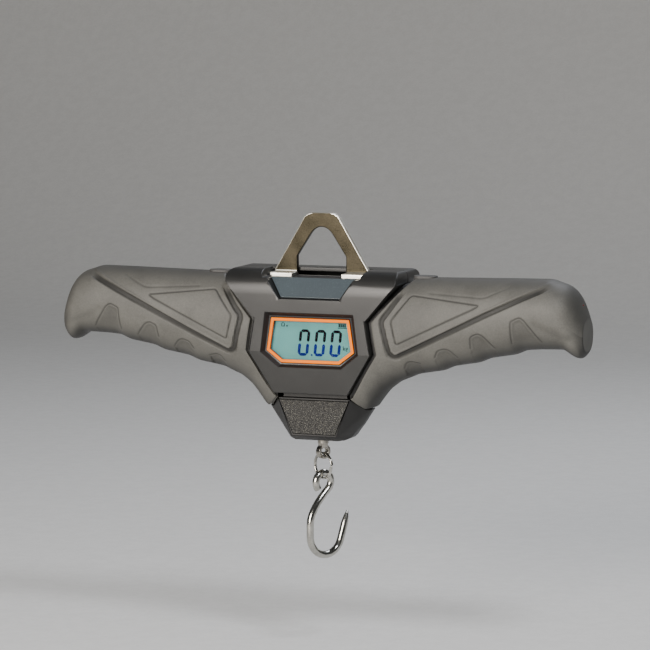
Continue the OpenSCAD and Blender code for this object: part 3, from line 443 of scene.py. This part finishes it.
def pocket_face(face):
    """Whether a face lies in the recess around the display."""
    middle = face.calc_center_median() / MM
    low, high = size_of("lcd_bezel")
    rim = 3.3
    inside = low.x - rim < middle.x < high.x + rim and low.z - rim < middle.z < high.z + rim
    behind = middle.y > size_of("front_cover")[0].y + 0.1
    return inside and behind and face.normal.y > -0.98


def painted_highlight_face(face):
    """Whether a face takes the painted highlight: it looks up or outwards on the hanger's edge, or lies on
    one of its feet.
    """
    middle = face.calc_center_median()
    plate_front = -2.5 * MM
    on_foot = middle.y < plate_front
    return on_foot or abs(face.normal.y) < 0.97 and (face.normal.z > 0.45 or face.normal.x * middle.x > 0)


def paint_cad_parts(kept):
    for node in kept:
        part = frame["nodes"][node]
        part.data.materials.clear()
        part.data.materials.append(finishes[slot_of[node]])


# ---- Grips ----

# The same lines as the rubber sleeve's, by distance from the mid-plane
top_line = [(0, 33.4), (34, 33.4), (52, 34.3), (grip_end - 38, 35.4), (grip_end - 19, 35.6),
            (grip_end - 15, 33.9), (grip_end - 11, 33), (grip_end - 7, 30.2), (grip_end - 3, 24.5),
            (grip_end, 15.5)]
finger_x = [grip_end - 35.5 - i * 20.2 for i in range(4)]
finger_z = [-2.4 - i * 5.04 for i in range(4)]
finger_step = 2.6
finger_run = 3
low_line = [(0, -55), (29.4, -39.1), (33.9, -32.6), (38.4, -27),
            (finger_x[3] - 8, finger_z[3] - finger_step - 2)]
for x, z in reversed(list(zip(finger_x, finger_z))):
    low_line += [(x - finger_run, z - finger_step), (x + finger_run, z)]
low_line += [(grip_end - 25, -1.8), (grip_end - 11.4, -1.4), (grip_end - 6, -5.3), (grip_end - 2, -6.2),
             (grip_end, -3)]
depth_line = [(0, half_grip), (grip_end - 40, half_grip), (grip_end - 16, half_grip - 1),
              (grip_end - 8, half_grip - 2.2), (grip_end - 3, half_grip - 5.5), (grip_end, half_grip - 10)]
section_power = 2.7
skin_power = 2.15
sleeve_t = 3.0
channel = 2.2
edge_round = 1.3
# Strength of the painted shade where the grip's skin turns up to its top, and where it turns down to the
# finger side
top_shade, finger_side_shade = 0.4, 0.8
grip_rows = 262
grip_columns = 296

# Outline of the housing's right side and of the nose's top, which the grip stands clear of
flank = [(14.3, -39.5), (21, -28.6), (34.8, -6.2), (31.8, 11.5), (48.4, 30.8), (55, 38.5)]
nose_seam_x, nose_seam_z = 26.8, -37.3
nose_top_x, nose_top_z = 20.8, -31.3
flank_foot = -28.6 - channel


def shifted(points, gap):
    """A line moved sideways by gap, with its corners kept sharp."""
    lines = []
    for a, b in zip(points, points[1:]):
        run = Vector(b) - Vector(a)
        side = Vector((run.y, -run.x)).normalized() * gap
        lines.append((Vector(a) + side, run))
    moved = [lines[0][0]]
    for (p, u), (q, v) in zip(lines, lines[1:]):
        t = (q - p).cross(v) / u.cross(v)
        moved.append(p + u * t)
    moved.append(lines[-1][0] + lines[-1][1])
    return [(p.x, p.y) for p in moved]


clear_flank = np.array(shifted(flank, channel))


def smoothed(line, width):
    """A line sampled closely and softened over this width, as a pair of arrays."""
    spacing = 0.25
    xs = np.arange(0, grip_end + 0.01, spacing)
    zs = np.interp(xs, *zip(*line))
    reach = int(3 * width / spacing)
    weights = np.exp(-0.5 * (np.arange(-reach, reach + 1) * spacing / width) ** 2)
    before = 2 * zs[0] - zs[reach:0:-1]
    after = 2 * zs[-1] - zs[-2:-reach - 2:-1]
    padded = np.concatenate([before, zs, after])
    return xs, np.convolve(padded, weights / weights.sum(), "valid")


soft_top, soft_low, soft_depth = smoothed(top_line, 1.6), smoothed(low_line, 1.1), smoothed(depth_line, 2.0)


def grip_point(x, angle, inset):
    """Height and depth of the grip's skin at x and an angle round its section, which may be arrays."""
    top = np.interp(x, *soft_top) - inset
    low = np.interp(x, *soft_low) + inset
    deep = np.interp(x, *soft_depth) - inset
    c, s = np.cos(angle), np.sin(angle)
    power = 2 / (section_power if inset else skin_power)
    y = deep * np.sign(c) * np.abs(c) ** power
    z = (top + low) / 2 + (top - low) / 2 * np.sign(s) * np.abs(s) ** power
    return y, z


def in_grip(x, z):
    """Whether a point seen from the front belongs to the grip and not to the housing or the nose."""
    housing = (z > flank_foot) & (x < np.interp(z, clear_flank[:, 1], clear_flank[:, 0]))
    slope = (nose_seam_x - nose_top_x) / (nose_seam_z - nose_top_z)
    nose = (z < nose_seam_z) | (x < nose_top_x + np.clip(z - nose_top_z, None, 0) * slope)
    return ~(housing | nose)


def inner_edge(angles, inset):
    """Distance from the mid-plane at which each line along the grip meets the housing or the nose."""
    low = np.full(len(angles), nose_top_x)
    steps = np.linspace(75, nose_top_x - 1, 220)
    found = np.zeros(len(angles), bool)
    high = np.full(len(angles), 75.0)
    for x in steps:
        outside = ~in_grip(x, grip_point(np.full(len(angles), x), angles, inset)[1]) & ~found
        low[outside] = x
        found |= outside
        high[~found] = x
    for _ in range(14):
        middle = (low + high) / 2
        good = in_grip(middle, grip_point(middle, angles, inset)[1])
        high = np.where(good, middle, high)
        low = np.where(good, low, middle)
    return high


def rounded(points, radius, closed=False):
    """A line whose corners are rounded off, as an array of points."""
    count = len(points)
    made = [] if closed else [Vector(points[0])]
    for i in range(0 if closed else 1, count if closed else count - 1):
        before, here, after = (Vector(points[(i + k) % count]) for k in (-1, 0, 1))
        cut = min(radius, (before - here).length * 0.49, (after - here).length * 0.49)
        start = here + (before - here).normalized() * cut
        end = here + (after - here).normalized() * cut
        made += [start.lerp(here, t).lerp(here.lerp(end, t), t) for t in np.linspace(0, 1, 7)]
    made.append(made[0] if closed else Vector(points[-1]))
    return np.array([(p.x, p.y) for p in made])


def distance_to(line, x, z):
    """Distance of each point to a line, its side (positive to the left), and its share of the way along."""
    best = np.full(x.shape, 1e9)
    side = np.zeros(x.shape)
    along = np.zeros(x.shape)
    lengths = np.hypot(*np.diff(line, axis=0).T)
    run = np.concatenate([[0], np.cumsum(lengths)]) / lengths.sum()
    for i, (a, b) in enumerate(zip(line, line[1:])):
        d = b - a
        t = np.clip(((x - a[0]) * d[0] + (z - a[1]) * d[1]) / max(d @ d, 1e-12), 0, 1)
        dx, dz = x - a[0] - t * d[0], z - a[1] - t * d[1]
        far = np.hypot(dx, dz)
        near = far < best
        best = np.where(near, far, best)
        side = np.where(near, np.sign(d[0] * dz - d[1] * dx), side)
        along = np.where(near, run[i] + t * (run[i + 1] - run[i]), along)
    return best, side, along


def step(value, low, high):
    """Smooth rise from 0 at low to 1 at high."""
    t = np.clip((value - low) / (high - low), 0, 1)
    return t * t * (3 - 2 * t)


valley = rounded([(52, 28.6), (43.5, 16), (40.3, 12.2), (42.4, 4.5), (44.7, -5.6), (47.6, -7.4), (66, 1.5),
                  (98.8, 17.8), (117.5, 26.7), (134, 34)], 3.0)
cheek = rounded([(56.2, 26.2), (94.6, 22.2), (91.6, 20.2), (48.6, -0.6), (45.6, 12.2)], 1.6, closed=True)
shoulder = rounded([(66, 27.4), (96.7, 25.9), (110, 31.8)], 3.0)
pommel = rounded([(124.5, 12.4), (134.4, 7.2), (141, 4.2), (144.5, 5.5)], 4.0)
arches = [rounded(points, 1.3) for points in (
    [(112, 2.2), (112.2, 14.2), (117.2, 16.6), (119.8, 14.8), (128, 3.6)],
    [(89.4, -1), (89.9, 5.2), (94, 7.2), (97, 5.8), (102.4, -0.4)],
    [(69.2, -6.8), (71, -3.1), (74.8, -1.8), (77.6, -2.4), (81.4, -6.4)],
    [(51.6, -13.4), (53.2, -10.2), (56, -9.4), (60.6, -10.4)])]


def relief(x, z):
    """Height that the mould adds to the grip's flat side, in mm, and how much painted shade darkens its
    grooves and scoops.
    """
    far, side, along = distance_to(valley, x, z)
    signed = far * side
    deep = 1.4 * step(along, 0.0, 0.04) * (1 - step(along, 0.93, 1.0))
    floor_shape = step(signed, -2.2, -1.2) * (1 - step(signed, 0.7, 1.3))
    lip = 0.2 * np.exp(-((signed - 1.7) / 0.5) ** 2)
    height = deep * (lip - floor_shape)
    # Painted shade on the valley's floor
    dark = deep * 0.68 * floor_shape ** 2
    # Cheek, shoulder and pommel grooves: line, width, cut, and stain, which is the strength of their painted
    # shade
    grooves = [(cheek, 0.42, 0.45, 0.9), (shoulder, 0.6, 0.25, 0.4), (pommel, 2.6, 0.7, 0.1)]
    for line, width, cut, stain in grooves:
        far, side, along = distance_to(line, x, z)
        trough = np.exp(-(far / width) ** 2)
        height -= cut * trough
        dark += trough * stain
    for line in arches:
        far, side, along = distance_to(line, x, z)
        trough = np.exp(-(far / 0.42) ** 2)
        low, high = line[:, 1].min(), line[:, 1].max()
        within = (side < 0) & (x > line[0, 0]) & (x < line[-1, 0]) & (z < high)
        scoop = 0.8 * within * step(far, 0, 2.2) * step(z, low - 9, high - 1)
        height -= 0.42 * trough + scoop
        # Painted shade along each finger arch and in the scoop beneath it
        dark += 0.8 * trough + 0.35 * within * step(far, 0, 2.2)
    return height, np.clip(dark, 0, 1)


def column_angles():
    """Angles once round the section from the middle of its back, closest together on the front."""
    samples = 2000
    mid_grip = 80.0
    even = np.linspace(0, 2 * math.pi, samples)
    y, z = grip_point(np.full(samples, mid_grip), even, 0)
    size = np.hypot(np.diff(y), np.diff(z)) * np.where(y[1:] < -half_grip / 2, 2.0, 1.0)
    run = np.concatenate([[0], np.cumsum(size)])
    return np.interp(np.linspace(0, run[-1], grip_columns + 1), run, even)


def grip_rows_of(angles):
    """Rings of the sleeve as (x, y, z) arrays: along its inside, round the inner edge and out on its skin."""
    inner, outer = inner_edge(angles, sleeve_t), inner_edge(angles, 0)
    last_in = grip_end - sleeve_t - 1
    rows = []
    for share in (0.0, 0.5, 1.0):
        y, z = grip_point(np.full(len(angles), last_in), angles, sleeve_t)
        middle = z.mean()
        rows.append((np.full(len(angles), last_in), y * share, middle + (z - middle) * share))
    for t in np.linspace(0, 1, 10)[1:]:
        x = last_in + (inner - last_in) * t
        rows.append((x, *grip_point(x, angles, sleeve_t)))
    skin_start = len(rows)
    for t in np.linspace(0, 1, grip_rows):
        x = outer + (grip_end - outer) * t
        rows.append((x, *grip_point(x, angles, 0)))
    skin_end = len(rows)
    y, z = grip_point(np.full(len(angles), grip_end), angles, 0)
    for share in (0.86, 0.5, 0.0):
        rows.append((np.full(len(angles), grip_end), y * share, z.mean() + (z - z.mean()) * share))
    return np.array(rows).transpose(0, 2, 1), skin_start, skin_end


def grip(name, side, node):
    """One rubber grip, with its valley, cheek and finger scoops carved into the skin."""
    rings, start, end = grip_rows_of(column_angles())
    count, around = rings.shape[:2]
    shape = bmesh.new()
    bmesh.ops.create_grid(shape, x_segments=count - 1, y_segments=around - 1, size=0.5)
    mesh = bpy.data.meshes.new(name)
    shape.to_mesh(mesh)
    shape.free()
    flat = np.zeros(len(mesh.vertices) * 3)
    mesh.vertices.foreach_get("co", flat)
    flat = flat.reshape(-1, 3)
    row = np.rint((flat[:, 0] + 0.5) * (count - 1)).astype(int)
    column = np.rint((flat[:, 1] + 0.5) * (around - 1)).astype(int)
    points = rings[row, column]
    mesh.vertices.foreach_set("co", points.ravel())
    mesh.update()
    normals = np.zeros(len(mesh.vertices) * 3)
    mesh.vertices.foreach_get("normal", normals)
    normals = normals.reshape(-1, 3)
    outward = np.sign((normals[:, 1] * points[:, 1]).sum())
    on_skin = (row >= start) & (row < end)
    height, dark = relief(points[:, 0], points[:, 2])
    facing = step(np.abs(normals[:, 1]), 0.15, 0.5) * on_skin
    from_edge = np.where(on_skin, points[:, 0] - rings[start][column, 0], edge_round)
    short = np.clip(edge_round - from_edge, 0, edge_round)
    height = height * facing - on_skin * (edge_round - np.sqrt(edge_round ** 2 - short ** 2))
    points = points + normals * (outward * height)[:, None]
    points[:, 1] = np.clip(points[:, 1], -half_grip, half_grip)
    points[:, 0] *= side
    points[:, 2] -= hang_drop
    mesh.vertices.foreach_set("co", (points * MM).ravel())
    # Painted shade, kept in the groove attribute: the relief's darkening on the flat sides, and darkening
    # where the skin turns up or down away from the front
    groove = mesh.attributes.new("groove", "FLOAT", "POINT")
    shade_strength = np.where(outward * normals[:, 2] > 0, top_shade, finger_side_shade)
    turned = on_skin * (1 - step(np.abs(normals[:, 1]), 0.35, 0.97)) * shade_strength
    groove.data.foreach_set("value", np.maximum(dark * facing * 0.85, turned).astype(np.float32))
    shape = bmesh.new()
    shape.from_mesh(mesh)
    bmesh.ops.remove_doubles(shape, verts=shape.verts, dist=1e-5)
    bmesh.ops.recalc_face_normals(shape, faces=shape.faces)
    bpy.data.meshes.remove(mesh)
    return finish_piece(name, shape, node, smooth=50, stands_for=[node])


# ---- Display ----

# Liquid crystal segments, etched: nearly black, and blue where the light from the back comes through
ink_black = moulded("lcd_segment_dark", "#0b0a12", "#100e18", 0.6, 0.5, 0.001, Specular_IOR_Level=0.05)
ink_blue = moulded("lcd_segment_blue", "#0a1a66", "#0f227a", 0.6, 0.5, 0.001, Specular_IOR_Level=0.05)
ink_slant = math.tan(math.radians(6.5))
ink_front = panel_low.y - 0.07
ink_back = panel_low.y - 0.01


def ink_plate(shape, outline, tint):
    """A thin plate of ink, from its outline seen from the front in mm."""
    corners = [shape.verts.new((x * MM, ink_back * MM, (z - hang_drop) * MM)) for x, z in outline]
    face = shape.faces.new(corners)
    face.material_index = tint
    grown = bmesh.ops.extrude_face_region(shape, geom=[face], use_keep_orig=True)
    bmesh.ops.translate(shape, verts=[g for g in grown["geom"] if isinstance(g, bmesh.types.BMVert)],
                        vec=(0, (ink_front - ink_back) * MM, 0))


def ink_bar(shape, start, end, width, tint):
    """A segment with pointed ends, leaning with the digit it belongs to."""
    a, b = Vector(start), Vector(end)
    along = (b - a).normalized()
    side = Vector((-along.y, along.x)) * width / 2
    a, b, tip = a + along * 0.08, b - along * 0.08, along * width / 2
    ring = [a, a + tip + side, b - tip + side, b, b - tip - side, a + tip - side]
    ink_plate(shape, [(p.x, p.y) for p in ring], tint)


def digit(shape, corner_x, corner_z, wide, high, segments):
    """A seven-segment digit from its lower left corner. Its segments are a to f, clockwise from the top."""
    stroke = 1.6
    left, right = corner_x + stroke / 2, corner_x + wide - stroke / 2
    low, high = corner_z + stroke / 2, corner_z + high - stroke / 2
    middle = (low + high) / 2
    up, down = middle + 0.3, middle - 0.3
    ends = {"a": ((left, high), (right, high)), "b": ((right, high), (right, up)),
            "c": ((right, down), (right, low)), "d": ((left, low), (right, low)),
            "e": ((left, down), (left, low)), "f": ((left, high), (left, up))}
    for key in segments:
        lean = [(x + (z - corner_z) * ink_slant, z) for x, z in ends[key]]
        ink_bar(shape, *lean, stroke, 1 if key in "cde" else 0)


def box_outline(x, z, wide, high):
    return [(x, z), (x + wide, z), (x + wide, z + high), (x, z + high)]


def display_ink():
    """0.00 with its point, a battery sign and a lock sign; the unit is drawn by unit_sign."""
    shape = bmesh.new()
    digit_w, digit_h, baseline = 6.2, 14.4, -8.4
    for corner in (-8.4, 0.8, 9.8):
        digit(shape, corner, baseline, digit_w, digit_h, "abcdef")
    ink_plate(shape, box_outline(-0.5, -8.3, 0.9, 1.0), 1)
    for bar in range(4):
        ink_plate(shape, box_outline(15.4 + bar * 1.1, 7.7, 0.8, 2.0), 0)
    ink_plate(shape, box_outline(14.9, 7.1, 5.2, 0.35), 0)
    ink_plate(shape, box_outline(14.9, 10.0, 5.2, 0.35), 0)
    ink_plate(shape, box_outline(-17.4, 7.1, 1.9, 0.4), 0)
    ink_plate(shape, box_outline(-17.4, 7.5, 0.4, 1.4), 0)
    ink_plate(shape, box_outline(-15.9, 7.5, 0.4, 1.4), 0)
    ink_plate(shape, box_outline(-17.0, 8.9, 1.1, 0.4), 0)
    ink_plate(shape, box_outline(-14.6, 7.1, 0.8, 0.8), 0)
    bmesh.ops.recalc_face_normals(shape, faces=shape.faces)
    return finish_piece("lcd_ink", shape, "lcd_panel", smooth=20, coats=[ink_black, ink_blue])


def unit_sign():
    """The letters kg as a thin plate of ink."""
    letters = bpy.data.curves.new("unit_letters", "FONT")
    letters.body = "kg"
    letters.size = 3.3 * MM
    letters.extrude = 0.02 * MM
    letters.offset = 0.04 * MM
    sign = bpy.data.objects.new("unit_letters", letters)
    bpy.context.scene.collection.objects.link(sign)
    flat = bpy.data.meshes.new_from_object(sign.evaluated_get(bpy.context.evaluated_depsgraph_get()))
    bpy.data.objects.remove(sign)
    shape = bmesh.new()
    shape.from_mesh(flat)
    place = Matrix.Translation(Vector((17.7, ink_front + 0.03, -4.7 - hang_drop)) * MM)
    bmesh.ops.transform(shape, matrix=place @ Matrix.Rotation(math.pi / 2, 4, "X"), verts=shape.verts)
    bmesh.ops.remove_doubles(shape, verts=shape.verts, dist=1e-6)
    bmesh.ops.recalc_face_normals(shape, faces=shape.faces)
    return finish_piece("lcd_unit", shape, "lcd_panel", smooth=20, coats=[ink_black])


# ---- Nose panel ----

def outer_face(node, direction):
    """Corners and normal of the CAD node's largest face that looks this way."""
    shape = from_cad(node)
    shape.normal_update()
    faces = [f for f in shape.faces if f.normal.dot(Vector(direction).normalized()) > 0.9]
    face = max(faces, key=lambda f: f.calc_area())
    corners, normal = [v.co.copy() for v in face.verts], face.normal.copy()
    shape.free()
    return corners, normal


def grained_panel():
    """The coarse grain of the nose panel as real grains on a closed plate."""
    corners, normal = outer_face("nose_panel", (0, -1, -0.3))
    high = sorted(corners, key=lambda p: -p.z)
    top = sorted(high[:2], key=lambda p: p.x)
    low = sorted(high[2:4], key=lambda p: p.x)
    shape = bmesh.new()
    bmesh.ops.create_grid(shape, x_segments=150, y_segments=84, size=0.5)
    rim = 0.015
    for v in shape.verts:
        s, t = v.co.x + 0.5, v.co.y + 0.5
        v.co = low[0].lerp(low[1], s).lerp(top[0].lerp(top[1], s), t)
        edge = min(s, 1 - s, t, 1 - t)
        near = noise.voronoi(v.co * per_mm(0.62))[0]
        rough = noise.noise(v.co * per_mm(0.4))
        height = (0.2 - 0.3 * near[0] + 0.08 * rough) * min(edge / rim, 1.0)
        v.co += normal * height * MM
    border = [e for e in shape.edges if e.is_boundary]
    wall = bmesh.ops.extrude_edge_only(shape, edges=border)
    moved = [g for g in wall["geom"] if isinstance(g, bmesh.types.BMVert)]
    bmesh.ops.translate(shape, verts=moved, vec=-normal * 1.05 * MM)
    bmesh.ops.holes_fill(shape, edges=[e for e in shape.edges if e.is_boundary], sides=0)
    bmesh.ops.recalc_face_normals(shape, faces=shape.faces)
    return finish_piece("nose_panel_grained", shape, "nose_panel", smooth=70, stands_for=["nose_panel"])


# ---- Split ring and hook ----

def split_ring():
    """Spring wire wound in two turns that lie side by side, with both ends left square."""
    low, high = size_of("split_ring")
    turn = math.radians(-30)
    axis = Vector((math.sin(-turn), math.cos(turn), 0))
    centre = (low + high) / 2 * MM
    wire = 0.6 * MM
    radius = (high.z - low.z) / 2 * MM - wire
    across = Vector((math.cos(turn), math.sin(turn), 0))
    shape = bmesh.new()
    bmesh.ops.create_circle(shape, cap_ends=True, segments=16, radius=wire)
    start = centre + across * radius - axis * wire * 0.92
    frame_of = Matrix((across, axis, across.cross(axis))).transposed().to_4x4()
    bmesh.ops.transform(shape, matrix=Matrix.Translation(start) @ frame_of, verts=shape.verts)
    bmesh.ops.spin(shape, geom=shape.verts[:] + shape.edges[:] + shape.faces[:], cent=centre, axis=axis,
                   dvec=axis * wire * 1.84 / 120, angle=math.radians(712), steps=120, use_merge=False)
    bmesh.ops.recalc_face_normals(shape, faces=shape.faces)
    return finish_piece("split_ring_wound", shape, "split_ring", smooth=50, stands_for=["split_ring"])


def hook():
    """Hook of round wire, bent to the CAD line and shaded as one smooth wire."""
    return finish_piece("hook_bent", from_cad("hook"), "hook", smooth=50, stands_for=["hook"])


# ---- Assembly ----

camera()
studio()
floor()

# The faces of the recess round the display take the painted shade finish
crisp("front_cover", 0.3, rim=outline_edge, accent=pocket_painted_shade, accent_on=pocket_face)
crisp("rear_cover", 0.35)
crisp("battery_door", 0.3)
crisp("badge_plate", 0.3)
crisp("lcd_bezel", 0.25)
# The hanger's upward and outward edges and its feet take the painted highlight
crisp("hanger_loop", 0.5, segments=3, accent=edge_painted_highlight, accent_on=painted_highlight_face)
crisp("nose_shell", 0.4)
crisp("power_button", 0.4, segments=3)
crisp("unit_button", 0.4, segments=3)
crisp("end_plugs", 0.4)
crisp("cover_screws", 0.15)
crisp("nose_screws", 0.15)
crisp("turn_latch", 0.12)
crisp("coupler_nut", 0.15)
crisp("stud_seal", 0.25)
crisp("swivel_stud", 0.2)
grip("right_grip", 1, "right_grip_sleeve")
grip("left_grip", -1, "left_grip_sleeve")
display_ink()
unit_sign()
grained_panel()
split_ring()
hook()
paint_cad_parts([name for name, part in frame["nodes"].items() if not part.hide_render])
